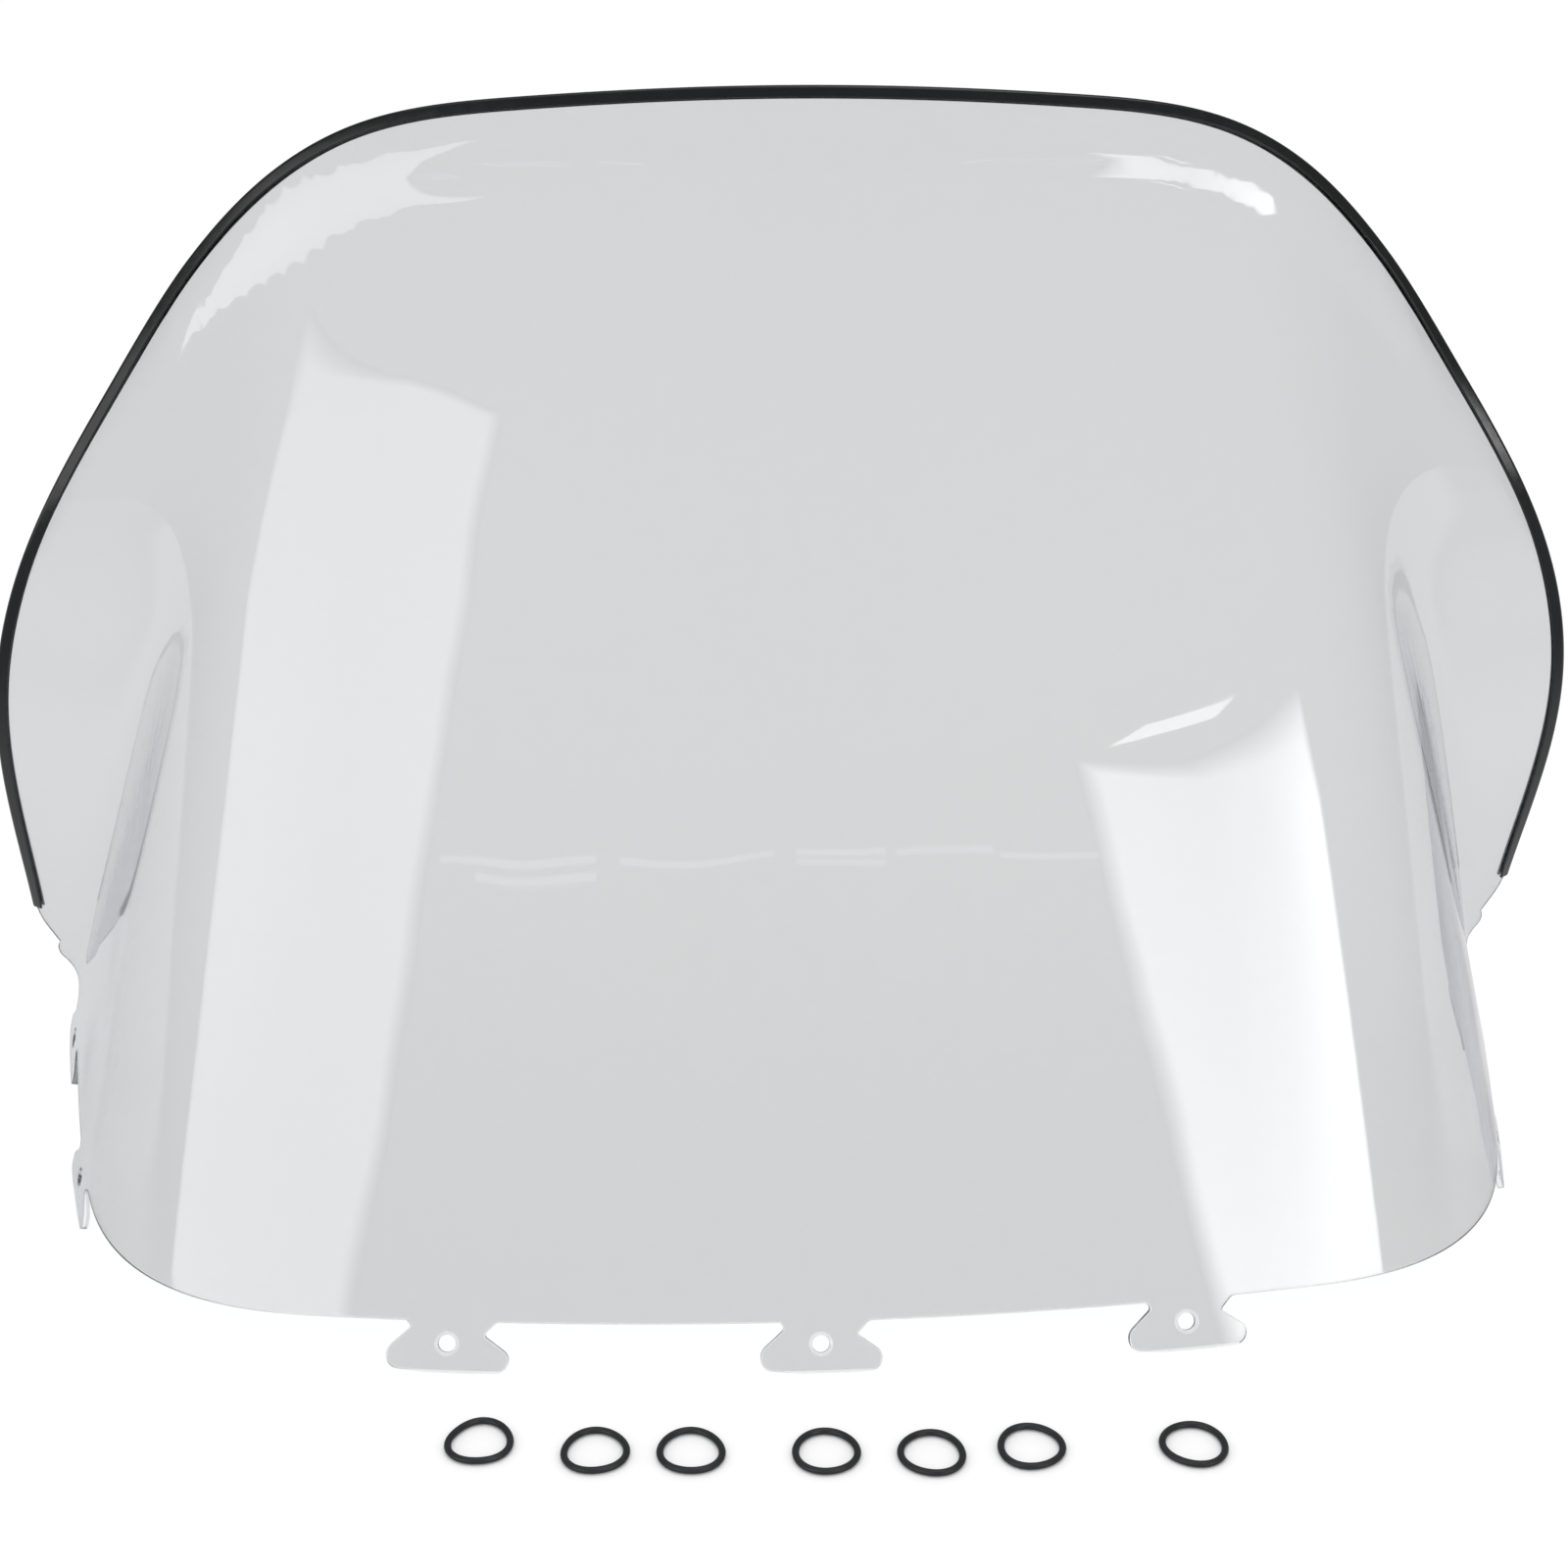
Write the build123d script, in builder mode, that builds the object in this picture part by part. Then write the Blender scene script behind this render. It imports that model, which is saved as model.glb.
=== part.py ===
"""Wraparound sled windshield: a clear bent sheet with seven fishtail tabs, its edge trim and seven O-rings.

Units are millimetres. +X is to the right of a viewer who faces the front of the shield, +Y runs backward and
+Z up. The shield stands on its tabs on the plane z = 0, with the origin there, at the middle of the set.
"""

import math
import os

from build123d import *

# Sheet
SHEET_THICKNESS = 3.0
HOOD_Z = 19.0                      # height of the sheet's front bottom edge, the line that meets the hood
CROWN_Z = 478.0                    # height of the level that carries the top of the face
NOSE_Y = -99.0                     # face at the hood line, on the centre plane
CROWN_Y = 144.0                    # face at the crown level, on the centre plane
FACE_BOW_RADIUS = 1600.0           # the face is nearly flat from side to side

# Each level of the sheet is a curve whose heading starts along +X, turns back round the front corner into the
# side wall, and turns outward again into the ear. These values run from the hood line to the crown as cubic
# Bezier curves of the height: turns in degrees, places and widths as lengths along the level.
CORNER_TURN = (64.0, 66.0, 71.0, 18.0)
CORNER_PLACE = (292.0, 268.0, 240.0, 206.0)
CORNER_WIDTH = (172.0, 128.0, 120.0, 144.0)
EAR_TURN = (34.0, 95.0, 69.0, 0.0)
EAR_PLACE = (534.0, 372.0, 190.0, 280.0)
EAR_WIDTH = (36.0, 64.0, 78.0, 80.0)

# Blank that the sheet is cut from, larger than the sheet so that every edge is a clean cut
LOWEST_LEVEL = -16.0
HIGHEST_LEVEL = 504.0
LEVELS = 14
BLANK_REACH = (560.0, 470.0, 240.0)  # half length of a level, as a Bezier curve of the height
COLUMNS = 20                       # points of a level on each side of the centre plane
STEPS = 26                         # integration steps from point to point
SLOPE_SPAN = 1.0                   # half the height difference over which the sheet's slope is taken
CUT_DEPTH = 600.0                  # half depth of the solids that cut the sheet to its outline

# Outline of the top edge and the ears, seen square on to the face: (half width, height up the face). Heights
# count from a line on z = 0 that is OUTLINE_SETBACK ahead of the origin.
OUTLINE_SETBACK = 107.0
TOP_OUTLINE = [
    (0, 540),
    (118, 536.5),
    (189, 525.5),
    (242, 492),
    (298.5, 418),
    (341.5, 342.5),
    (357, 291),
    (359.8, 196),
]
EAR_FOOT = [(350.5, 177), (370, 160), (430, 160)]  # below the end of the edge trim
EAR_FOOT_TURN = (-1, -1.4)
OUTLINE_FLOOR = -60.0

# Hood line seen from the side, (y, z), and the steep edge behind the rear notch
HOOD_LINE = [(5, HOOD_Z), (70, 23.5), (130, 33.5), (176, 43.5)]
BEHIND_NOTCH = [(188, 64), (300, 300)]
NOTCH_RADIUS = 7.0

# Fishtail tabs: half widths and depths below the hood line
TAB_ROOT_HALF = 19.0
TAB_ROOT_RISE = 2.0
TAB_NECK_HALF = 15.8
TAB_NECK_DROP = 4.0
TAB_HEAD_HALF = 26.0
TAB_HEAD_DROP = 15.5
TAB_LENGTH = 20.7
TAB_CORNER_RADIUS = 2.6
TAB_NECK_RADIUS = 4.0
TAB_HOLE_DROP = 9.4
TAB_HOLE_RADIUS = 3.75
TAB_SINK_RADIUS = 4.9
TAB_REACH = 7.0                    # half depth of the solid that cuts a tab out of the sheet
FRONT_TAB_X = (0.0, 157.0)
SIDE_TABS = ((30.0, 20.6), (128.0, 33.0))  # y and height of the hood line at the right side's tabs

# Edge trim, a U-channel pushed over the edge
TRIM_WALL = 1.2
TRIM_WEB = 1.6
TRIM_LEG = 4.0
TRIM_GAP = 0.1                     # room between the sheet and the channel
TRIM_SECTIONS = 20                 # sections along each half of the edge
EDGE_STEPS = 200                   # integration steps to a point of the edge
SEARCH_ROUNDS = 6                  # Newton steps to a point of the edge

# O-rings, lying in front of the shield: (x, y) of each centre
RING_INSIDE_RADIUS = 11.0
RING_CORD_RADIUS = 1.5
RING_PLACES = [(-143, -148), (-96, -156), (-57, -158), (-2, -161), (41, -164), (82, -162), (149, -164)]


def bezier(values, u):
    """Value at u of the Bezier curve with the given control values."""
    degree = len(values) - 1
    return sum(math.comb(degree, k) * u**k * (1 - u) ** (degree - k) * v for k, v in enumerate(values))


def eased(t):
    """Smooth step from 0 to 1."""
    t = min(max(t, 0.0), 1.0)
    return t * t * (3 - 2 * t)


def heading(length, u):
    """Direction in plan, in radians from +X, of level u at a length from the centre plane."""
    corner = eased((length - bezier(CORNER_PLACE, u)) / bezier(CORNER_WIDTH, u) + 0.5)
    ear = eased((length - bezier(EAR_PLACE, u)) / bezier(EAR_WIDTH, u) + 0.5)
    turn = bezier(CORNER_TURN, u) * corner - bezier(EAR_TURN, u) * ear
    return length / FACE_BOW_RADIUS + math.radians(turn)


def level_points(z):
    """Points of the right half of the level at height z, from the centre plane out, with their headings."""
    u = (z - HOOD_Z) / (CROWN_Z - HOOD_Z)
    step = bezier(BLANK_REACH, u) / COLUMNS / STEPS
    x, y = 0.0, bezier((NOSE_Y, CROWN_Y), u)
    points = [(Vector(x, y, z), heading(0.0, u))]
    for i in range(COLUMNS * STEPS):
        angle = heading((i + 0.5) * step, u)
        x += math.cos(angle) * step
        y += math.sin(angle) * step
        if (i + 1) % STEPS == 0:
            points.append((Vector(x, y, z), heading((i + 1) * step, u)))
    return points


def level_frames(z):
    """Point, direction along the level and slope up the sheet at each point of the right half."""
    below = level_points(z - SLOPE_SPAN)
    above = level_points(z + SLOPE_SPAN)
    for (point, angle), (low, _), (high, _) in zip(level_points(z), below, above):
        yield point, Vector(math.cos(angle), math.sin(angle), 0), high - low


def level_outline(z, offset):
    """Plan of a whole level, moved off the middle surface so that the sheet's square thickness is right."""
    right = []
    for point, along, slope in level_frames(z):
        normal = along.cross(slope).normalized()
        flat = Vector(normal.X, normal.Y)
        right.append(point + flat.normalized() * (offset / flat.length))
    return [(-p.X, p.Y) for p in reversed(right[1:])] + [(p.X, p.Y) for p in right]


def sheet_blank(thickness):
    """Untrimmed bent sheet of the given thickness, centred on the middle surface."""
    with BuildPart() as blank:
        for i in range(LEVELS):
            z = LOWEST_LEVEL + (HIGHEST_LEVEL - LOWEST_LEVEL) * i / (LEVELS - 1)
            with BuildSketch(Plane.XY.offset(z)):
                with BuildLine():
                    outer = Spline(level_outline(z, thickness / 2))
                    inner = Spline(level_outline(z, -thickness / 2))
                    Line(outer @ 0, inner @ 0)
                    Line(outer @ 1, inner @ 1)
                make_face()
        loft()
    return blank.part


def sheet_plane(z, axis, place):
    """Plane on the middle surface at height z, where the right half passes the place on the axis.

    Its normal points outward, its X axis runs along the level and its Y axis up the sheet.
    """
    frames = list(level_frames(z))
    for (p0, a0, s0), (p1, a1, s1) in zip(frames, frames[1:]):
        start, end = p0.dot(axis), p1.dot(axis)
        if end >= place:
            break
    t = (place - start) / (end - start)
    along = a0 * (1 - t) + a1 * t
    return Plane(p0 * (1 - t) + p1 * t, x_dir=along, z_dir=along.cross(s0 * (1 - t) + s1 * t))


def plane_mirrored(plane):
    """Mirror image of a tab plane in the centre plane."""
    origin, up, out = (Vector(-v.X, v.Y, v.Z) for v in (plane.origin, plane.y_dir, plane.z_dir))
    return Plane(origin, x_dir=up.cross(out), z_dir=out)


def sheet_point(length, z):
    """Point of the middle surface at height z, at a length along the level from the centre plane."""
    u = (z - HOOD_Z) / (CROWN_Z - HOOD_Z)
    step = length / EDGE_STEPS
    angles = [heading((i + 0.5) * step, u) for i in range(EDGE_STEPS)]
    x = sum(math.cos(angle) for angle in angles) * step
    y = sum(math.sin(angle) for angle in angles) * step
    return Vector(x, bezier((NOSE_Y, CROWN_Y), u) + y, z)


def edge_plane(target, direction, length, z):
    """Cross-section plane of the edge where it passes a target seen square on to the face, and its place.

    The search starts from a length and height. The plane's X axis points out of the sheet's edge, its Y axis
    out of the sheet's front and its normal along the edge.
    """
    for _ in range(SEARCH_ROUNDS):
        point = sheet_point(length, z)
        longer = sheet_point(length + 1, z) - point
        higher = sheet_point(length, z + 1) - point
        miss = target - face_plane.to_local_coords(point)
        across, up = face_plane.x_dir, face_plane.y_dir
        size = longer.dot(across) * higher.dot(up) - longer.dot(up) * higher.dot(across)
        length += (miss.X * higher.dot(up) - miss.Y * higher.dot(across)) / size
        z += (miss.Y * longer.dot(across) - miss.X * longer.dot(up)) / size
    by_length = (direction.X * higher.dot(up) - direction.Y * higher.dot(across)) / size
    by_height = (direction.Y * longer.dot(across) - direction.X * longer.dot(up)) / size
    along = (longer * by_length + higher * by_height).normalized()
    front = longer.cross(higher).normalized()
    return Plane(point, x_dir=front.cross(along), z_dir=along), length, z


def edge_planes():
    """Cross-section planes along the whole top edge, from the left ear over the top to the right ear."""
    with BuildLine():
        top = Spline(TOP_OUTLINE, tangents=[(1, 0), (0, -1)])
    length, z = 0.0, CROWN_Z
    right = []
    for i in range(TRIM_SECTIONS + 1):
        t = i / TRIM_SECTIONS
        plane, length, z = edge_plane(top @ t, top % t, length, z)
        right.append(plane)
    left = []
    for plane in reversed(right[1:]):
        out, along = plane.x_dir, plane.z_dir
        origin = Vector(-plane.origin.X, plane.origin.Y, plane.origin.Z)
        left.append(Plane(origin, x_dir=(-out.X, out.Y, out.Z), z_dir=(along.X, -along.Y, -along.Z)))
    return left + right


face_up = Vector(0, CROWN_Y - NOSE_Y, CROWN_Z - HOOD_Z).normalized()
face_plane = Plane((0, -OUTLINE_SETBACK, 0), x_dir=(1, 0, 0), z_dir=Vector(1, 0, 0).cross(face_up))
tab_planes = [sheet_plane(HOOD_Z, Vector(1, 0, 0), x) for x in FRONT_TAB_X]
tab_planes += [sheet_plane(z, Vector(0, 1, 0), y) for y, z in SIDE_TABS]

# Region of the sheet above the hood line, seen from the side
with BuildPart() as hood_cutter:
    with BuildSketch(Plane.YZ):
        with BuildLine():
            Spline(HOOD_LINE, tangents=[(1, 0), (1, 0.22)])
            Polyline(HOOD_LINE[-1], *BEHIND_NOTCH, (CUT_DEPTH, CUT_DEPTH), (-CUT_DEPTH, CUT_DEPTH))
            Polyline((-CUT_DEPTH, CUT_DEPTH), (-CUT_DEPTH, HOOD_Z), HOOD_LINE[0])
        side = make_face()
        fillet(side.vertices().sort_by_distance(BEHIND_NOTCH[0])[0], NOTCH_RADIUS)
    extrude(amount=CUT_DEPTH, both=True)

# The seven tabs, each square to the sheet
tab_side = [
    (TAB_ROOT_HALF, TAB_ROOT_RISE),
    (TAB_NECK_HALF, -TAB_NECK_DROP),
    (TAB_HEAD_HALF, -TAB_HEAD_DROP),
    (TAB_HEAD_HALF, -TAB_LENGTH),
]
with BuildPart() as tab_cutters:
    for tab_plane in tab_planes:
        with BuildSketch(tab_plane):
            with BuildLine():
                Polyline(*tab_side, *[(-x, y) for x, y in reversed(tab_side)], close=True)
            tab = make_face()
            foot, head, neck, root = tab.vertices().group_by(Axis.Y)
            fillet(foot + head, TAB_CORNER_RADIUS)
            fillet(neck, TAB_NECK_RADIUS)
        extrude(amount=TAB_REACH, both=True)
    mirror(about=Plane.YZ)

# Sheet: the blank, cut to the outline of its top edge and ears, then to its hood line and tabs
sheet = sheet_blank(SHEET_THICKNESS)
bottom_cutter = hood_cutter.part + tab_cutters.part
with BuildPart() as windshield:
    add(sheet)
    with BuildSketch(face_plane):
        with BuildLine():
            Spline(TOP_OUTLINE, tangents=[(1, 0), (0, -1)])
            Spline([TOP_OUTLINE[-1], EAR_FOOT[0]], tangents=[(0, -1), EAR_FOOT_TURN])
            Polyline(*EAR_FOOT, (EAR_FOOT[-1][0], OUTLINE_FLOOR), (0, OUTLINE_FLOOR))
            mirror(about=Plane.YZ)
        make_face()
    extrude(amount=CUT_DEPTH, both=True, mode=Mode.INTERSECT)
    add(bottom_cutter, mode=Mode.INTERSECT)
    for tab_plane in tab_planes + [plane_mirrored(p) for p in tab_planes[1:]]:
        with Locations(tab_plane.offset(SHEET_THICKNESS / 2) * Pos(0, -TAB_HOLE_DROP)):
            CounterSinkHole(TAB_HOLE_RADIUS, TAB_SINK_RADIUS, depth=TAB_REACH, counter_sink_angle=90)

# Edge trim, a U-channel lofted through cross-sections along the edge
channel_half = SHEET_THICKNESS / 2 + TRIM_GAP
trim_half = channel_half + TRIM_WALL
upper_half = [
    (-TRIM_LEG, channel_half),
    (-TRIM_LEG, trim_half),
    (TRIM_WEB, trim_half),
]
lower_half = [(x, -y) for x, y in reversed(upper_half)]
trim_section = upper_half + lower_half + [(TRIM_GAP, -channel_half), (TRIM_GAP, channel_half)]
with BuildPart() as edge_trim:
    for section_plane in edge_planes():
        with BuildSketch(section_plane):
            with BuildLine():
                Polyline(*trim_section, close=True)
            make_face()
    loft()

# O-rings
rings = []
for number, (x, y) in enumerate(RING_PLACES, start=1):
    with BuildPart() as o_ring:
        with BuildSketch(Plane((x, y, RING_CORD_RADIUS), x_dir=(1, 0, 0), z_dir=(0, -1, 0))):
            with Locations((RING_INSIDE_RADIUS + RING_CORD_RADIUS, 0)):
                Circle(RING_CORD_RADIUS)
        revolve(axis=Axis((x, y, 0), (0, 0, 1)))
    o_ring.part.label = f"o_ring_{number}"
    rings.append(o_ring.part)

windshield.part.label = "windshield"
edge_trim.part.label = "edge_trim"
os.makedirs("parts", exist_ok=True)
for piece in [windshield.part, edge_trim.part, *rings]:
    export_step(piece, f"parts/{piece.label}.step")
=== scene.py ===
"""Looks of the wraparound sled windshield: clear sheet with fishtail tabs, edge trim and loose O-rings.

Lengths of the object are in millimetres and become metres when a mesh is made. The floor, the lamps and the
panels are in metres. Places on the sheet are given as (length along a level from the centre plane, height z),
with negative lengths on the left side.
"""

import math

import bpy
import numpy as np
from mathutils import Matrix, Vector, geometry


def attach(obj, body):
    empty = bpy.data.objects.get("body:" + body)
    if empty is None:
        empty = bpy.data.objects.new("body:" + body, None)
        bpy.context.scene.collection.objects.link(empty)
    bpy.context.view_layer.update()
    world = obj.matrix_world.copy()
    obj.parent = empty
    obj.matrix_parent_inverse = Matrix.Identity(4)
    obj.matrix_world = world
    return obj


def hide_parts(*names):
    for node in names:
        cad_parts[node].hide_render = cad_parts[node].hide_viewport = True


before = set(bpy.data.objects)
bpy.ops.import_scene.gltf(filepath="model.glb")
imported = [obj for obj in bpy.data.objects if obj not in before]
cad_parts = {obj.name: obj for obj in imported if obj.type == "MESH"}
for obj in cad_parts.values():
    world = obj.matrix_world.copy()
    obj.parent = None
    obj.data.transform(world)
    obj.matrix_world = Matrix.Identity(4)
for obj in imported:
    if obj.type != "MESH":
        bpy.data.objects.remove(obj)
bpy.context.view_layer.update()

MM = 0.001

# Bent sheet, as in the CAD model
SHEET_THICKNESS = 3.0
HOOD_Z = 19.0
CROWN_Z = 478.0
NOSE_Y = -99.0
CROWN_Y = 144.0
FACE_BOW_RADIUS = 1600.0
CORNER_TURN = (64.0, 66.0, 71.0, 18.0)
CORNER_PLACE = (292.0, 268.0, 240.0, 206.0)
CORNER_WIDTH = (172.0, 128.0, 120.0, 144.0)
EAR_TURN = (34.0, 95.0, 69.0, 0.0)
EAR_PLACE = (534.0, 372.0, 190.0, 280.0)
EAR_WIDTH = (36.0, 64.0, 78.0, 80.0)
STEPS = 260                      # integration steps along a level
NORMAL_SPAN = 1.0                # half the height over which the surface's slope is taken for its normal
SLOPE_SPAN = 0.5                 # half the distance over which the surface's change is taken
FORMED_SPAN = 0.4                # the same for the formed surface

# Outlines: top edge and ears square on to the face, hood line and rear notch from the side
OUTLINE_SETBACK = 107.0
TOP_OUTLINE = [
    (0, 540),
    (118, 536.5),
    (189, 525.5),
    (242, 492),
    (298.5, 418),
    (341.5, 342.5),
    (357, 291),
    (359.8, 196),
]
EAR_FOOT = [(350.5, 177), (370, 160), (392, 142)]
EAR_FOOT_TURN = (-1, -1.4)
HOOD_LINE = [(5, HOOD_Z), (70, 23.5), (130, 33.5), (176, 43.5)]
HOOD_REAR_SLOPE = (1, 0.22)
BEHIND_NOTCH = [(188, 64), (224, 140)]
NOTCH_REACH = 9.0                # how far the notch's rounding reaches from its corner
HOOD_REAR_REACH = 4.0

# Step under the top edge
LIP_STEP = 2.6                   # how far it stands forward
LIP_DEPTH = 24.0                 # its middle, below the top edge
LIP_WIDTH = 24.0
LIP_END = 265.0                  # where it begins to fade, as a length along the level
LIP_FADE = 40.0

# Lean of the ears' shading, which faces them further to the side than the bent sheet does
EAR_LEAN = 26.0
EAR_LEAN_FROM = (245.0, 300.0)   # heights between which it grows

# Deepening of the sheet's tint where it is seen at a slant, as a power of its colour
SLANT_RANGE = (0.1, 0.8)         # how far the sheet faces away, 0 to 1
SLANT_TINT = (1.0, 1.52)

# Tabs. Their corners are (across, up from the hood line, radius), from left to right.
TAB_LEFT = [
    (-17.2, 0.0, 0.9),
    (-15.2, -2.6, 1.8),
    (-26.4, -12.8, 7.5),
    (-24.6, -20.2, 5.0),
    (-8.0, -21.6, 30.0),
]
TAB_RIGHT = [
    (10.0, -21.8, 30.0),
    (24.4, -21.2, 5.4),
    (27.2, -14.2, 6.0),
    (15.4, -5.6, 1.2),
    (20.6, 0.0, 3.6),
]
TAB_SPAN = 24.0                  # half the length over which the lower edge gives way to a tab
TAB_HOLE_DROP = 9.4
TAB_HOLE_RADIUS = 3.75
TAB_SINK_RADIUS = 4.9
FRONT_TAB_X = (0.0, 157.0)
SIDE_TABS = ((30.0, 20.6), (128.0, 33.0))  # y and height of the right side's tabs

# Edge finish of the sheet
EDGE_RADIUS = 0.5
SINK_ROUNDING = 0.25
HOLE_POINTS = 40
NOTCH_POINTS = 14                # points that turn a softened corner
LATTICE = 6.0                    # spacing of the sheet's mesh
LATTICE_COLUMNS = 100            # on each side of the centre plane
LATTICE_ROWS = (-2, 84)
EDGE_SPACING = 2.4               # spacing of mesh points along the edge
SEARCH_TURNS = 8                 # at most, to find a place on the sheet
SEARCH_STEP = 30.0               # furthest move in a turn
SEARCH_END = 1e-4                # a smaller move ends the search

# Trim, as offsets from the sheet's edge
TRIM_WALL = 1.2
TRIM_WEB = 1.3
TRIM_LEG = 4.0
TRIM_GAP = 0.1

# O-rings
RING_INSIDE_RADIUS = 11.0
RING_CORD_RADIUS = 1.5
RING_PLACES = [(-143, -148), (-96, -156), (-57, -158), (-2, -161), (41, -164), (82, -162), (149, -164)]
# How far each ring is oval and its way in degrees, then how far it is three-cornered and its way
RING_SHAPES = [
    (0.035, 35, 0.040, 84),
    (0.025, 25, 0.030, 96),
    (0.015, -20, 0.026, 88),
    (0.012, 5, 0.018, 100),
    (0.022, -35, 0.020, 72),
    (0.015, 15, 0.024, 108),
    (0.032, -30, 0.018, 62),
]
RING_STEPS = 120
CORD_STEPS = 20
FLASH = 0.05                     # the parting line stands this far out of the cord

# Materials
SHEET_TINTS = ((0.674, 0.686, 0.698), (0.694, 0.702, 0.704))
EDGE_TINTS = ((0.84, 0.86, 0.86), (0.92, 0.94, 0.94))
TRIM_TINTS = ((0.002, 0.0025, 0.0025), (0.004, 0.005, 0.0045))
RING_TINTS = ((0.010, 0.010, 0.011), (0.018, 0.018, 0.019))
SHEET_IOR = 1.585
RUBBER_IOR = 1.52
LIGHT_THROUGH = (0.96, 0.965, 0.965, 1)  # what the sheet leaves of a lamp's light

# Floor
FLOOR_RADIUS = 9.0
FLOOR_STEPS = 96
FLOOR_COLOUR = (0.9, 0.9, 0.9, 1)
FLOOR_AHEAD = (0.40, 0.42, 0.45)  # painted brightness of the floor where the object reflects it, in front of it
FLOOR_BEHIND = (0.78, 0.78, 0.80)
FLOOR_EDGE = (-0.12, 0.04)       # between these the one turns into the other, along y

# Camera
CAMERA_PLACE = (-94.3, -1142.3, 841.1)
CAMERA_FALL = math.radians(28.319)
CAMERA_TURN = math.radians(4.131)
CAMERA_ROLL = math.radians(0.879)
SENSOR = 36
LENS_PER_FRAME = 3168.7 / 1600

# Light
SKY = 1.09                       # lights the scene evenly
ROOM = 0.30                      # what the object reflects of the room
WALL_COLOUR = (0.95, 1.0, 0.94)
CEILING_COLOUR = (0.94, 0.97, 1.04)
CEILING_RISE = 0.46              # sine of the angle above level where the room's ceiling begins
CEILING_BLEND = 0.004
OVERHEAD_SIZE = 1.6
OVERHEAD_RADIANCE = 0.6
OVERHEAD_PLACE = (0, 0.1, 2.2)

# Panels' corners: metres across, metres up and the radiance there
LEFT_PANEL = [
    (2.85, 2.70, 1.6),
    (2.00, 2.50, 1.5),
    (-1.07, 1.90, 1.5),
    (-2.23, 1.37, 1.6),
    (-3.50, 0.76, 1.8),
    (-3.57, -1.39, 2.2),
    (2.32, -0.90, 2.0),
]
RIGHT_PANEL = [
    (-1.52, 1.08, 2.6),
    (-0.95, 0.93, 2.4),
    (0.84, 0.75, 3.8),
    (1.16, 0.47, 5.0),
    (1.28, -0.20, 5.6),
    (1.50, -1.00, 4.4),
    (-1.00, -0.90, 4.2),
]
RIGHT_STRIP = [
    (-1.32, 1.06, 3.0),
    (-1.02, 1.02, 3.0),
    (-0.74, 0.975, 3.0),
    (-0.63, 0.985, 3.0),
    (-1.09, 1.06, 3.0),
]
HIGH_PANEL = [(-0.6, -0.3, 2.6), (0.6, -0.3, 2.6), (0.6, 0.3, 2.6), (-0.6, 0.3, 2.6)]
TUBE_RADIANCE = 0.9
CEILING_TUBES = [                # from, to, lower edge, upper edge
    (-1.38, -0.64, -0.005, 0.010),
    (-1.22, -0.64, -0.035, -0.020),
    (-0.52, 0.21, -0.005, 0.010),
    (0.31, 0.76, -0.005, 0.012),
    (0.31, 0.76, -0.032, -0.018),
    (0.80, 1.30, -0.010, 0.004),
    (1.33, 1.82, -0.020, -0.008),
]


def bezier(values, u):
    """Value at u of the Bezier curve with the given control values."""
    degree = len(values) - 1
    return sum(math.comb(degree, k) * u**k * (1 - u) ** (degree - k) * v for k, v in enumerate(values))


def eased(t):
    """Smooth step from 0 to 1."""
    t = np.clip(t, 0.0, 1.0)
    return t * t * (3 - 2 * t)


def heading(length, u):
    """Direction in plan, in radians from +X, of level u at a length from the centre plane."""
    corner = eased((length - bezier(CORNER_PLACE, u)) / bezier(CORNER_WIDTH, u) + 0.5)
    ear = eased((length - bezier(EAR_PLACE, u)) / bezier(EAR_WIDTH, u) + 0.5)
    turn = bezier(CORNER_TURN, u) * corner - bezier(EAR_TURN, u) * ear
    return length / FACE_BOW_RADIUS + np.radians(turn)


def middle(length, z):
    """Points on the middle surface of the sheet, for arrays of places."""
    length, z = np.atleast_1d(np.asarray(length, float)), np.atleast_1d(np.asarray(z, float))
    side = np.where(length < 0, -1.0, 1.0)
    reach = np.abs(length)
    u = (z - HOOD_Z) / (CROWN_Z - HOOD_Z)
    share = (np.arange(STEPS) + 0.5) / STEPS
    angle = heading(reach[:, None] * share, u[:, None])
    x = np.cos(angle).mean(1) * reach
    y = bezier((NOSE_Y, CROWN_Y), u) + np.sin(angle).mean(1) * reach
    return np.stack([x * side, y, z], 1)


def outward(length, z):
    """Unit normals of the middle surface, on its front and outer side."""
    length, z = np.atleast_1d(np.asarray(length, float)), np.atleast_1d(np.asarray(z, float))
    side = np.where(length < 0, -1.0, 1.0)
    reach = np.abs(length)
    angle = heading(reach, (z - HOOD_Z) / (CROWN_Z - HOOD_Z))
    along = np.stack([np.cos(angle), np.sin(angle), np.zeros_like(angle)], 1)
    slope = middle(reach, z + NORMAL_SPAN) - middle(reach, z - NORMAL_SPAN)
    normal = np.cross(along, slope)
    normal /= np.linalg.norm(normal, axis=1)[:, None]
    normal[:, 0] *= side
    return normal


def formed(length, z):
    """Points of the middle surface with the shallow step that forming leaves under its top edge."""
    length, z = np.atleast_1d(np.asarray(length, float)), np.atleast_1d(np.asarray(z, float))
    depth = np.interp(np.abs(length), top_edge[:, 0], top_edge[:, 1]) - z
    fade = 1 - eased((np.abs(length) - LIP_END) / LIP_FADE)
    step = LIP_STEP * eased((LIP_DEPTH - depth) / LIP_WIDTH + 0.5) * fade
    return middle(length, z) + outward(length, z) * step[:, None]


def formed_normal(length, z):
    """Unit normals of the formed surface."""
    by_length = formed(length + FORMED_SPAN, z) - formed(length - FORMED_SPAN, z)
    by_height = formed(length, z + FORMED_SPAN) - formed(length, z - FORMED_SPAN)
    normal = np.cross(by_length, by_height)
    return normal / np.linalg.norm(normal, axis=1)[:, None]


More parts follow.
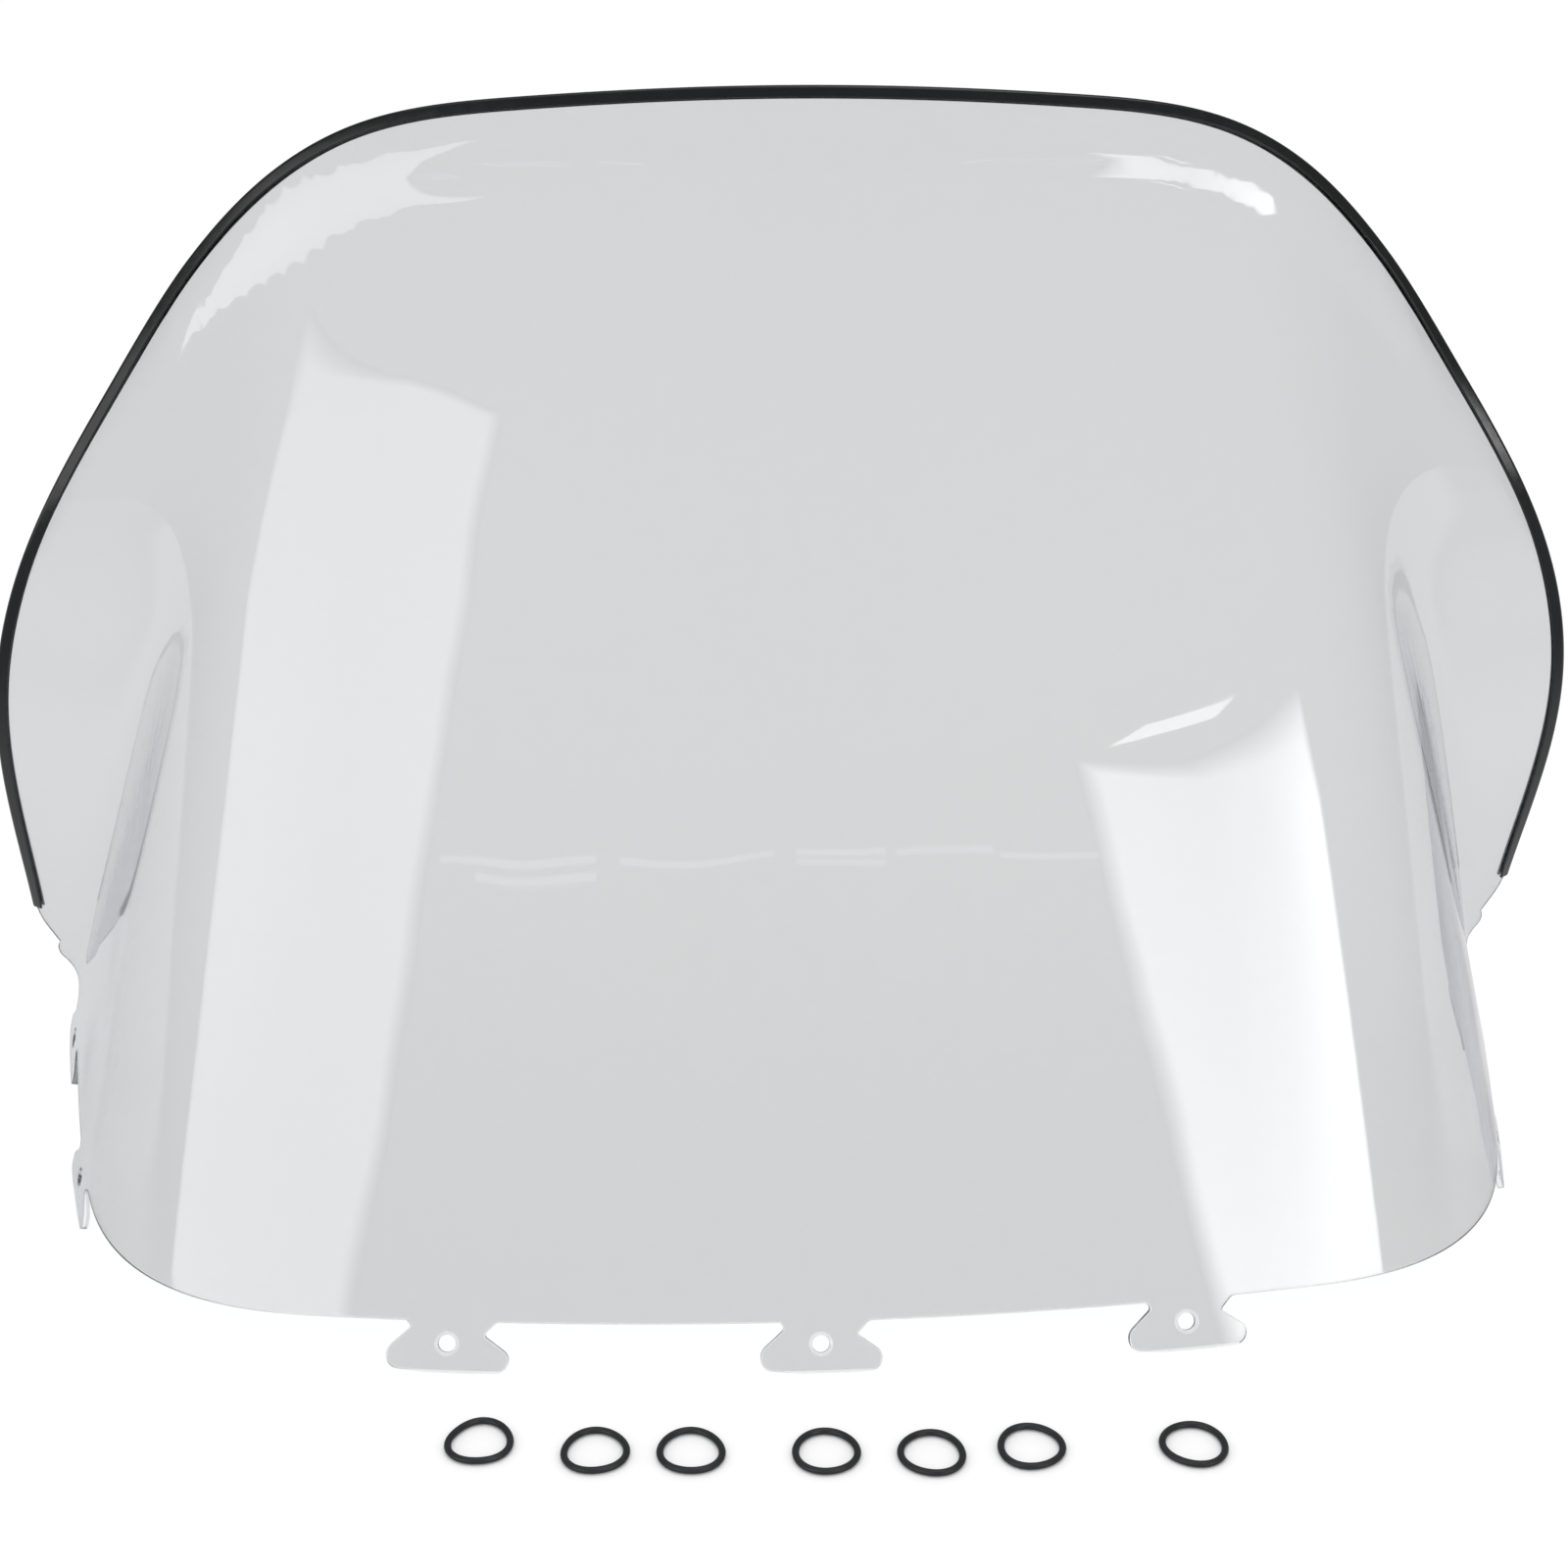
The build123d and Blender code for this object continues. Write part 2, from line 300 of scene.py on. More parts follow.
def leaned(normal, length, z):
    """Normals turned out to the side on the upper ears."""
    u = (z - HOOD_Z) / (CROWN_Z - HOOD_Z)
    low, high = EAR_LEAN_FROM
    share = eased((np.abs(length) - bezier(EAR_PLACE, u)) / bezier(EAR_WIDTH, u) + 0.5)
    share = share * eased((z - low) / (high - low))
    angle = np.radians(EAR_LEAN) * share * np.where(length < 0, -1.0, 1.0)
    x, y = normal[:, 0], normal[:, 1]
    sine, cosine = np.sin(angle), np.cos(angle)
    return np.stack([x * cosine - y * sine, x * sine + y * cosine, normal[:, 2]], 1)


def clamped_spline(points, start, end, spacing):
    """Dense points of the cubic spline through points, by chord length, with the given end directions."""
    p = np.array(points, float)
    gaps = np.linalg.norm(np.diff(p, axis=0), axis=1)
    n = len(p)
    left = np.zeros((n, n))
    right = np.zeros((n, 2))
    left[0, 0] = left[-1, -1] = 1
    right[0] = np.array(start, float) / np.linalg.norm(start)
    right[-1] = np.array(end, float) / np.linalg.norm(end)
    for i in range(1, n - 1):
        a, b = gaps[i - 1], gaps[i]
        left[i, i - 1 : i + 2] = b, 2 * (a + b), a
        right[i] = 3 * (b * (p[i] - p[i - 1]) / a + a * (p[i + 1] - p[i]) / b)
    speed = np.linalg.solve(left, right)
    found = []
    for i in range(n - 1):
        h = gaps[i]
        for t in np.linspace(0, 1, max(2, int(h / spacing) + 1), endpoint=False):
            ends = (2 * t**3 - 3 * t**2 + 1) * p[i] + (3 * t**2 - 2 * t**3) * p[i + 1]
            slopes = (t**3 - 2 * t**2 + t) * h * speed[i] + (t**3 - t**2) * h * speed[i + 1]
            found.append(ends + slopes)
    found.append(p[-1])
    return np.array(found)


def divided(points, spacing):
    """A polyline with its runs divided to the spacing."""
    found = [np.array(points[0], float)]
    for a, b in zip(points, points[1:]):
        a, b = np.array(a, float), np.array(b, float)
        count = max(1, round(float(np.linalg.norm(b - a)) / spacing))
        found += [a + (b - a) * (k + 1) / count for k in range(count)]
    return np.array(found)


def places_of(targets, measure, guess):
    """Places on the sheet whose measure(point) is each target in turn, each found from the one before it."""
    place, found = np.array(guess, float), []
    for target in targets:
        for _ in range(SEARCH_TURNS):
            lengths = place[0] + np.array([0, SLOPE_SPAN, 0])
            levels = place[1] + np.array([0, 0, SLOPE_SPAN])
            here, longer, higher = measure(middle(lengths, levels))
            turn = np.stack([longer - here, higher - here], 1) / SLOPE_SPAN
            step = np.linalg.solve(turn, target - here)
            place = place + np.clip(step, -SEARCH_STEP, SEARCH_STEP)
            if np.abs(step).max() < SEARCH_END:
                break
        found.append(place.copy())
    return np.array(found)


def square_on(p):
    """Half width and height up the face of points, as the top outline counts them."""
    rise = np.array([CROWN_Y - NOSE_Y, CROWN_Z - HOOD_Z])
    rise /= np.linalg.norm(rise)
    return np.stack([p[:, 0], (p[:, 1] + OUTLINE_SETBACK) * rise[0] + p[:, 2] * rise[1]], 1)


def from_side(p):
    """Y and z of points."""
    return p[:, 1:]


def crossing(a, b):
    """Index in a, index in b and point of the first crossing of two polylines."""
    for i in range(len(a) - 1):
        d = a[i + 1] - a[i]
        e = b[1:] - b[:-1]
        cross = d[0] * e[:, 1] - d[1] * e[:, 0]
        gap = b[:-1] - a[i]
        with np.errstate(divide="ignore", invalid="ignore"):
            s = (gap[:, 0] * e[:, 1] - gap[:, 1] * e[:, 0]) / cross
            t = (gap[:, 0] * d[1] - gap[:, 1] * d[0]) / cross
        hits = np.nonzero((s >= 0) & (s <= 1) & (t >= 0) & (t <= 1))[0]
        if len(hits):
            return i, int(hits[0]), a[i] + d * s[hits[0]]
    raise ValueError("the outlines don't cross")


def rounded(corners, step=0.9):
    """Closed outline through (x, y, radius) corners, each turned with its radius."""
    found, n = [], len(corners)
    for i in range(n):
        before, here, after = (np.array(corners[(i + k) % n][:2], float) for k in (-1, 0, 1))
        radius = corners[i][2]
        back, on = before - here, after - here
        back_length, on_length = np.linalg.norm(back), np.linalg.norm(on)
        back, on = back / back_length, on / on_length
        half = math.acos(float(np.clip(back @ on, -1, 1))) / 2
        cut = radius / math.tan(half) if radius else 0.0
        cut = min(cut, 0.5 * back_length, 0.5 * on_length)
        if cut < 1e-6 or half > math.pi / 2 - 0.01:
            found.append(here)
            continue
        start, end = here + back * cut, here + on * cut
        radius = cut * math.tan(half)
        bisector = (back + on) / np.linalg.norm(back + on)
        centre = here + bisector * (radius / math.sin(half))
        sweep = math.pi - 2 * half
        count = max(3, int(radius * sweep / step) + 1)
        a0 = math.atan2(*(start - centre)[::-1])
        a1 = math.atan2(*(end - centre)[::-1])
        turn = (a1 - a0 + math.pi) % (2 * math.pi) - math.pi
        for k in range(count + 1):
            a = a0 + turn * k / count
            found.append(centre + radius * np.array([math.cos(a), math.sin(a)]))
    return np.array(found)


def new_mesh(name, points, faces, normals, body, slot, material, nodes):
    """Object from points and vertex normals in millimetres, which rides on a body and replaces CAD nodes."""
    mesh = bpy.data.meshes.new(name)
    mesh.from_pydata((np.asarray(points) * MM).tolist(), [], faces)
    mesh.validate()
    mesh.polygons.foreach_set("use_smooth", [True] * len(mesh.polygons))
    if normals is not None:
        mesh.normals_split_custom_set_from_vertices(np.asarray(normals).tolist())
    mesh.materials.append(material)
    piece = bpy.data.objects.new(name, mesh)
    bpy.context.scene.collection.objects.link(piece)
    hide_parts(*nodes)
    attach(piece, body)
    return piece


def softened(line, corner, reach):
    """A polyline whose corner point is turned smoothly within a reach on each side."""
    at = int(np.argmin(np.linalg.norm(line - corner, axis=1)))
    runs = np.concatenate([[0], np.cumsum(np.linalg.norm(np.diff(line, axis=0), axis=1))])
    before = line[runs < runs[at] - reach]
    after = line[runs > runs[at] + reach]
    start, end = before[-1], after[0]
    t = np.linspace(0, 1, NOTCH_POINTS)[1:-1, None]
    curve = (1 - t) ** 2 * start + 2 * t * (1 - t) * corner + t**2 * end
    return np.concatenate([before, curve, after])


def directions(place):
    """Change of the middle surface per millimetre of length and of height, at each place."""
    length, z = place[:, 0], place[:, 1]
    by_length = (middle(length + SLOPE_SPAN, z) - middle(length - SLOPE_SPAN, z)) / (2 * SLOPE_SPAN)
    by_height = (middle(length, z + SLOPE_SPAN) - middle(length, z - SLOPE_SPAN)) / (2 * SLOPE_SPAN)
    return by_length, by_height


def tab_map(place):
    """Matrix from millimetres across and up the sheet at a place to its length and height."""
    by_length, by_height = (v[0] for v in directions(np.array([place])))
    across = by_length / np.linalg.norm(by_length)
    front = np.cross(across, by_height)
    up = np.cross(front / np.linalg.norm(front), across)
    sheet = np.array([[by_length @ across, by_height @ across], [by_length @ up, by_height @ up]])
    return np.linalg.inv(sheet)


def with_tab(line, centre):
    """The lower edge, which runs from left to right, with a tab let in at a centre on it."""
    to_place = tab_map(centre)
    flat = (line - centre) @ np.linalg.inv(to_place).T
    left, right = list(TAB_LEFT), list(TAB_RIGHT)
    left[0] = (left[0][0], np.interp(left[0][0], flat[:, 0], flat[:, 1]), left[0][2])
    right[-1] = (right[-1][0], np.interp(right[-1][0], flat[:, 0], flat[:, 1]), right[-1][2])
    before, after = flat[flat[:, 0] < -TAB_SPAN], flat[flat[:, 0] > TAB_SPAN]
    tab = rounded([(*before[-1], 0), *left, *right, (*after[0], 0)])[1:-1]
    return np.concatenate([line[: len(before)], tab @ to_place.T + centre, line[len(line) - len(after) :]])


def edge_frames(place, closed):
    """Middle points, unit directions out of the sheet's edge and unit normals along a run of places.

    The sheet is on the left of the run, seen from the front.
    """
    point, normal = formed(place[:, 0], place[:, 1]), formed_normal(place[:, 0], place[:, 1])
    if closed:
        along = np.roll(point, -1, 0) - np.roll(point, 1, 0)
    else:
        along = np.gradient(point, axis=0)
    along /= np.linalg.norm(along, axis=1)[:, None]
    out = np.cross(along, normal)
    out /= np.linalg.norm(out, axis=1)[:, None]
    return point, out, normal


def moved(place, out, distance):
    """Places moved over the sheet by a distance along unit directions."""
    by_length, by_height = directions(place)
    a, b, c = (by_length * by_length).sum(1), (by_length * by_height).sum(1), (by_height * by_height).sum(1)
    p, q = (by_length * out).sum(1) * distance, (by_height * out).sum(1) * distance
    size = a * c - b * b
    return place + np.stack([(p * c - q * b) / size, (q * a - p * b) / size], 1)


def inside(points, loop):
    """True for each point inside a closed loop."""
    result = np.zeros(len(points), bool)
    for a, b in zip(loop, np.roll(loop, -1, 0)):
        if a[1] == b[1]:
            continue
        spans = (a[1] > points[:, 1]) != (b[1] > points[:, 1])
        at = a[0] + (points[:, 1] - a[1]) * (b[0] - a[0]) / (b[1] - a[1])
        result ^= spans & (points[:, 0] < at)
    return result


def mirrored(place):
    """Places of the right side as those of the left side, in the opposite order."""
    return (place * np.array([-1, 1]))[::-1]


# Outline of the sheet, as places
top_flat = clamped_spline(TOP_OUTLINE, (1, 0), (0, -1), EDGE_SPACING)
ear_flat = clamped_spline([TOP_OUTLINE[-1], EAR_FOOT[0]], (0, -1), EAR_FOOT_TURN, EDGE_SPACING)
foot_flat = divided(EAR_FOOT, EDGE_SPACING)
upper = places_of(np.concatenate([top_flat, ear_flat[1:], foot_flat[1:]]), square_on, (0, 476))
top_edge = upper[: len(top_flat)]
hood_side = clamped_spline(HOOD_LINE, (1, 0), HOOD_REAR_SLOPE, EDGE_SPACING)
rear_side = divided([HOOD_LINE[-1], *BEHIND_NOTCH], EDGE_SPACING)
wall = places_of(np.concatenate([hood_side, rear_side[1:]]), from_side, (330, HOOD_Z))
front_lengths = np.linspace(0, wall[0, 0], int(wall[0, 0] / EDGE_SPACING), endpoint=False)
front = np.stack([front_lengths, np.full_like(front_lengths, HOOD_Z)], 1)
lower = np.concatenate([front, wall])
upper_at, lower_at, notch = crossing(upper, lower)
side_edge = np.concatenate([lower[: lower_at + 1], [notch], upper[upper_at : len(top_flat) - 1 : -1]])
side_edge = softened(side_edge, notch, NOTCH_REACH)
side_edge = softened(side_edge, wall[len(hood_side) - 1], HOOD_REAR_REACH)
lower_edge = np.concatenate([mirrored(side_edge)[:-1], side_edge])
front_tab_lengths = [np.interp(x, middle(front[:, 0], front[:, 1])[:, 0], front[:, 0]) for x in FRONT_TAB_X]
tab_centres = [np.array([length, HOOD_Z]) for length in front_tab_lengths]
tab_centres += list(places_of(np.array(SIDE_TABS), from_side, (350, HOOD_Z)))
tab_centres += [centre * np.array([-1, 1]) for centre in tab_centres[1:]]
for tab_centre in tab_centres:
    lower_edge = with_tab(lower_edge, tab_centre)
whole_top = np.concatenate([mirrored(top_edge)[:-1], top_edge])
outline = np.concatenate([lower_edge, whole_top[::-1]])

# Sheet
edge_loop = moved(outline, edge_frames(outline, closed=True)[1], -EDGE_RADIUS)
hole_turn = np.linspace(0, 2 * math.pi, HOLE_POINTS, endpoint=False)
hole_circle = (TAB_SINK_RADIUS + SINK_ROUNDING) * np.stack([np.cos(hole_turn), -np.sin(hole_turn)], 1)
hole_loops = [(hole_circle - (0, TAB_HOLE_DROP)) @ tab_map(centre).T + centre for centre in tab_centres]
lengths = np.arange(-LATTICE_COLUMNS, LATTICE_COLUMNS + 1) * LATTICE
heights = np.arange(*LATTICE_ROWS) * LATTICE
lattice = np.array([(x + (row % 2) * LATTICE / 2, z) for row, z in enumerate(heights) for x in lengths])
lattice = lattice[inside(lattice, edge_loop)]
borders = np.concatenate([edge_loop, *hole_loops])
clear_of = np.array([np.abs(borders - p).max(1).min() > 0.5 * LATTICE for p in lattice])
lattice = lattice[clear_of]
for hole_loop in hole_loops:
    lattice = lattice[~inside(lattice, hole_loop)]

loops, first_index = [], 0
for border in [edge_loop, *hole_loops]:
    loops.append(np.arange(first_index, first_index + len(border)))
    first_index += len(border)
flat_points = np.concatenate([borders, lattice])
edges = [(int(a), int(b)) for loop in loops for a, b in zip(loop, np.roll(loop, -1))]
mesh_points, _, mesh_triangles, *_ = geometry.delaunay_2d_cdt(
    [Vector(p) for p in flat_points.tolist()], edges, [], 0, 1e-6
)
if len(mesh_points) != len(flat_points):
    raise ValueError("the sheet's outline touches itself")
triangles = np.array(mesh_triangles)
centres = flat_points[triangles].mean(1)
keep = inside(centres, edge_loop)
for hole_loop in hole_loops:
    keep &= ~inside(centres, hole_loop)
triangles = triangles[keep]
first, second, third = (flat_points[triangles[:, k]] for k in range(3))
to_second, to_third = second - first, third - first
turned_left = to_second[:, 0] * to_third[:, 1] - to_second[:, 1] * to_third[:, 0] > 0
triangles[~turned_left] = triangles[~turned_left][:, ::-1]

half = SHEET_THICKNESS / 2
sheet_middle = formed(flat_points[:, 0], flat_points[:, 1])
sheet_normal = formed_normal(flat_points[:, 0], flat_points[:, 1])
count = len(flat_points)
points = [sheet_middle + sheet_normal * half, sheet_middle - sheet_normal * half]
shaded = leaned(sheet_normal, flat_points[:, 0], flat_points[:, 1])
normals = [shaded, -shaded]
faces = [tuple(t) for t in triangles.tolist()] + [tuple(t) for t in (triangles[:, ::-1] + count).tolist()]

# Profiles of the rim. A row is (distance out, height, normal's share outward, normal's share along the sheet's).
rounding = np.radians([22.5, 45, 67.5, 90])
outer_profile = [
    (EDGE_RADIUS * math.sin(t), half - EDGE_RADIUS + EDGE_RADIUS * math.cos(t), math.sin(t), math.cos(t))
    for t in rounding
]
outer_profile += [(d, -h, n, -m) for d, h, n, m in reversed(outer_profile)]
bore = TAB_SINK_RADIUS + SINK_ROUNDING - TAB_HOLE_RADIUS
diagonal = math.sqrt(0.5)
hole_profile = [
    (0.6 * SINK_ROUNDING, half - 0.05, 0.38, 0.92),
    (1.4 * SINK_ROUNDING, half - 0.16, diagonal, diagonal),
    (bore - 0.12, half - bore + 0.37, diagonal, diagonal),
    (bore, half - bore + 0.2, 0.92, 0.38),
    (bore, -half + 0.2, 0.98, -0.2),
    (bore - 0.2, -half, 0.5, -0.86),
]
next_index = 2 * count
rim_faces = []
for loop in loops:
    point, out, normal = edge_frames(flat_points[loop], closed=True)
    rings = [loop]
    for reach, height, out_share, normal_share in outer_profile if loop is loops[0] else hole_profile:
        points.append(point + out * reach + normal * height)
        direction = out * out_share + normal * normal_share
        normals.append(direction / np.linalg.norm(direction, axis=1)[:, None])
        rings.append(np.arange(next_index, next_index + len(loop)))
        next_index += len(loop)
    rings.append(loop + count)
    for front_ring, back_ring in zip(rings, rings[1:]):
        quads = np.stack([front_ring, back_ring, np.roll(back_ring, -1), np.roll(front_ring, -1)], 1)
        rim_faces += [tuple(quad) for quad in quads.tolist()]
sheet_points, sheet_normals = np.concatenate(points), np.concatenate(normals)


def swept(stations, profile, profile_normals):
    """Points, faces and normals of a closed profile swept along stations, with flat ends.

    The stations are the points, outward directions and normals that edge_frames gives.
    """
    point, out, normal = stations
    n, m = len(point), len(profile)
    grid = point[:, None] + out[:, None] * profile[None, :, :1] + normal[:, None] * profile[None, :, 1:]
    turned = out[:, None] * profile_normals[None, :, :1] + normal[:, None] * profile_normals[None, :, 1:]
    turned /= np.linalg.norm(turned, axis=2)[:, :, None]
    found = []
    for i in range(n - 1):
        for k in range(m):
            j = (k + 1) % m
            found.append((i * m + k, (i + 1) * m + k, (i + 1) * m + j, i * m + j))
    ends, end_normals = [grid[0], grid[-1]], []
    for at, towards in ((0, 1), (n - 1, n - 2)):
        flat = point[at] - point[towards]
        end_normals.append(np.tile(flat / np.linalg.norm(flat), (m, 1)))
    found.append(tuple(range(n * m, n * m + m)))
    found.append(tuple(range(n * m + 2 * m - 1, n * m + m - 1, -1)))
    all_points = np.concatenate([grid.reshape(-1, 3), *ends])
    all_normals = np.concatenate([turned.reshape(-1, 3), *end_normals])
    return all_points, found, all_normals


def profile_normals_of(profile):
    """Outward unit normals at the corners of a profile that runs anticlockwise."""
    along = np.roll(profile, -1, 0) - np.roll(profile, 1, 0)
    along /= np.linalg.norm(along, axis=1)[:, None]
    return np.stack([along[:, 1], -along[:, 0]], 1)


def nodes_of(material):
    """Node tree of a new material, emptied, with its output."""
    material.use_nodes = True
    tree = material.node_tree
    tree.nodes.clear()
    return tree, tree.nodes.new("ShaderNodeOutputMaterial")


def noise(tree, coordinates, scale, detail=3.0, roughness=0.5):
    """Noise texture's value output at a scale, in features per metre."""
    node = tree.nodes.new("ShaderNodeTexNoise")
    node.inputs["Scale"].default_value = scale
    node.inputs["Detail"].default_value = detail
    node.inputs["Roughness"].default_value = roughness
    tree.links.new(coordinates, node.inputs["Vector"])
    return node.outputs["Fac"]


def spread(tree, value, low, high, from_low=0.3, from_high=0.7):
    """Value mapped to run from low to high."""
    node = tree.nodes.new("ShaderNodeMapRange")
    node.inputs["From Min"].default_value = from_low
    node.inputs["From Max"].default_value = from_high
    node.inputs["To Min"].default_value = low
    node.inputs["To Max"].default_value = high
    tree.links.new(value, node.inputs["Value"])
    return node.outputs["Result"]


def between(tree, value, first, second):
    """Colour between two colours by a value."""
    node = tree.nodes.new("ShaderNodeMix")
    node.data_type = "RGBA"
    colours = [socket for socket in node.inputs if socket.type == "RGBA"]
    for socket, colour in zip(colours, (first, second)):
        socket.default_value = (*colour, 1)
    tree.links.new(value, node.inputs[0])
    return [socket for socket in node.outputs if socket.type == "RGBA"][0]


def bumped(tree, shader, height, strength, distance):
    """Bump from a height value on a shader's normal."""
    node = tree.nodes.new("ShaderNodeBump")
    node.inputs["Strength"].default_value = strength
    node.inputs["Distance"].default_value = distance
    tree.links.new(height, node.inputs["Height"])
    tree.links.new(node.outputs["Normal"], shader.inputs["Normal"])


def in_reflection(tree):
    """1 for a ray that an object has reflected on its way here, even inside a clear sheet, or else 0."""
    path = tree.nodes.new("ShaderNodeLightPath")
    node = tree.nodes.new("ShaderNodeMath")
    node.operation = "MINIMUM"
    node.inputs[1].default_value = 1.0
    tree.links.new(path.outputs["Glossy Depth"], node.inputs[0])
    return node.outputs[0]


def mixed(tree, share, first, second, output):
    """Connects an output to two shaders, mixed by a share of the second."""
    node = tree.nodes.new("ShaderNodeMixShader")
    tree.links.new(share, node.inputs[0])
    tree.links.new(first.outputs[0], node.inputs[1])
    tree.links.new(second.outputs[0], node.inputs[2])
    tree.links.new(node.outputs[0], output.inputs["Surface"])


def clear_plastic(name, tints, roughness, ripple):
    """Clear sheet: tinted glass-like plastic that lets the lamps' light through to what is behind it.

    A ray that crosses the sheet at a slant goes through more of it, so its tint is deeper there.
    """
    material = bpy.data.materials.new(name)
    tree, output = nodes_of(material)
    place = tree.nodes.new("ShaderNodeTexCoord").outputs["Object"]
    shader = tree.nodes.new("ShaderNodeBsdfPrincipled")
    shader.inputs["IOR"].default_value = SHEET_IOR
    shader.inputs["Transmission Weight"].default_value = 1.0
    slant = tree.nodes.new("ShaderNodeLayerWeight")
    deepened = tree.nodes.new("ShaderNodeGamma")
    tree.links.new(between(tree, noise(tree, place, 5, 2), *tints), deepened.inputs["Color"])
    tree.links.new(spread(tree, slant.outputs["Facing"], *SLANT_TINT, *SLANT_RANGE), deepened.inputs["Gamma"])
    tree.links.new(deepened.outputs[0], shader.inputs["Base Color"])
    tree.links.new(spread(tree, noise(tree, place, 60, 4), *roughness), shader.inputs["Roughness"])
    bumped(tree, shader, noise(tree, place, 9, 1), ripple, 0.01)
    through = tree.nodes.new("ShaderNodeBsdfTransparent")
    through.inputs["Color"].default_value = LIGHT_THROUGH
    path = tree.nodes.new("ShaderNodeLightPath")
    lamp_or_bounce = tree.nodes.new("ShaderNodeMath")
    lamp_or_bounce.operation = "MAXIMUM"
    tree.links.new(path.outputs["Is Shadow Ray"], lamp_or_bounce.inputs[0])
    tree.links.new(path.outputs["Is Diffuse Ray"], lamp_or_bounce.inputs[1])
    mixed(tree, lamp_or_bounce.outputs[0], shader, through, output)
    return material


def rubber(name, tints, roughness, grain, bump):
    """Black rubber: colour and roughness vary a little, over a fine grain."""
    material = bpy.data.materials.new(name)
    tree, output = nodes_of(material)
    place = tree.nodes.new("ShaderNodeTexCoord").outputs["Object"]
    shader = tree.nodes.new("ShaderNodeBsdfPrincipled")
    shader.inputs["IOR"].default_value = RUBBER_IOR
    tree.links.new(between(tree, noise(tree, place, 40, 4), *tints), shader.inputs["Base Color"])
    tree.links.new(spread(tree, noise(tree, place, 220, 3), *roughness), shader.inputs["Roughness"])
    bumped(tree, shader, noise(tree, place, grain, 2), bump, 0.0003)
    tree.links.new(shader.outputs[0], output.inputs["Surface"])
    return material


sheet_material = clear_plastic("clear_sheet", SHEET_TINTS, roughness=(0.0, 0.012), ripple=0.03)
edge_material = clear_plastic("sheet_edge", EDGE_TINTS, roughness=(0.18, 0.34), ripple=0.1)
trim_material = rubber("trim_rubber", TRIM_TINTS, roughness=(0.14, 0.24), grain=700, bump=0.06)
ring_material = rubber("o_ring_rubber", RING_TINTS, roughness=(0.30, 0.44), grain=1400, bump=0.2)

sheet = new_mesh(
    "clear_windshield_sheet",
    sheet_points,
    faces + rim_faces,
    sheet_normals,
    "shield",
    "clear_sheet",
    sheet_material,
    ["windshield"],
)
sheet.data.materials.append(edge_material)
for polygon in sheet.data.polygons[len(faces) :]:
    polygon.material_index = 1

# Trim
channel = half + TRIM_GAP
outside = channel + TRIM_WALL
upper_profile = [                # out from the edge, across the sheet, radius
    (TRIM_GAP, channel, 0.3),
    (-TRIM_LEG, channel - 0.08, 0.35),
    (-TRIM_LEG, outside - 0.1, 0.7),
    (TRIM_WEB, outside, 1.5),
]
lower_profile = [(x, -y, r) for x, y, r in upper_profile]
trim_profile = rounded(lower_profile + upper_profile[::-1], 0.35)
trim_stations = edge_frames(whole_top[::-1], closed=False)
new_mesh(
    "rubber_edge_trim",
    *swept(trim_stations, trim_profile, profile_normals_of(trim_profile)),
    "shield",
    "trim_rubber",
    trim_material,
    ["edge_trim"],
)


def ring(x, y, oval, oval_way, dent, dent_way):
    """Points, faces and normals of an O-ring at a place on the floor, a little out of round."""
    around = np.linspace(0, 2 * math.pi, RING_STEPS, endpoint=False)
    across = np.linspace(0, 2 * math.pi, CORD_STEPS, endpoint=False)
    shape = 1 + oval * np.cos(2 * (around - math.radians(oval_way)))
    shape = shape + dent * np.cos(3 * (around - math.radians(dent_way)))
    reach = (RING_INSIDE_RADIUS + RING_CORD_RADIUS) * shape
    height = np.full(RING_STEPS, RING_CORD_RADIUS)
    centre = np.stack([x + reach * np.cos(around), y + reach * np.sin(around), height], 1)
    along = np.roll(centre, -1, 0) - np.roll(centre, 1, 0)
    along /= np.linalg.norm(along, axis=1)[:, None]
    lift = np.array([0, 0, 1])
    out = np.cross(along, lift)
    side, rise = np.cos(across), np.sin(across)
    parting = np.abs(side) > 0.999
    cord = RING_CORD_RADIUS - FLASH * (1 - parting)
    grid = centre[:, None] + out[:, None] * (cord * side)[None, :, None] + lift * (cord * rise)[None, :, None]
    turned = out[:, None] * side[None, :, None] + lift * rise[None, :, None]
    found = []
    for i in range(RING_STEPS):
        for k in range(CORD_STEPS):
            i2, k2 = (i + 1) % RING_STEPS, (k + 1) % CORD_STEPS
            quad = (i, k), (i2, k), (i2, k2), (i, k2)
            found.append(tuple(row * CORD_STEPS + column for row, column in quad))
    return grid.reshape(-1, 3), found, turned.reshape(-1, 3)


# O-rings
for number, (place, shape) in enumerate(zip(RING_PLACES, RING_SHAPES), start=1):
    new_mesh(
        f"rubber_o_ring_{number}",
        *ring(*place, *shape),
        f"loose_ring_{number}",
        "o_ring_rubber",
        ring_material,
        [f"o_ring_{number}"],
    )

# Floor
floor_mesh = bpy.data.meshes.new("floor")
floor_turn = np.linspace(0, 2 * math.pi, FLOOR_STEPS, endpoint=False)
floor_rim = FLOOR_RADIUS * np.stack([np.cos(floor_turn), np.sin(floor_turn), 0 * floor_turn], 1)
floor_mesh.from_pydata(floor_rim.tolist(), [], [tuple(range(FLOOR_STEPS))])
floor = bpy.data.objects.new("floor", floor_mesh)
floor_material = bpy.data.materials.new("pale_floor")
floor_tree, floor_output = nodes_of(floor_material)
floor_shader = floor_tree.nodes.new("ShaderNodeBsdfPrincipled")
floor_shader.inputs["Roughness"].default_value = 0.9
floor_shader.inputs["Specular IOR Level"].default_value = 0.0
floor_shader.inputs["Base Color"].default_value = FLOOR_COLOUR
# Painted reflection: seen in reflections, the floor glows in these colours instead of being lit, darker in front of
# the object than behind it.
floor_glow = floor_tree.nodes.new("ShaderNodeEmission")
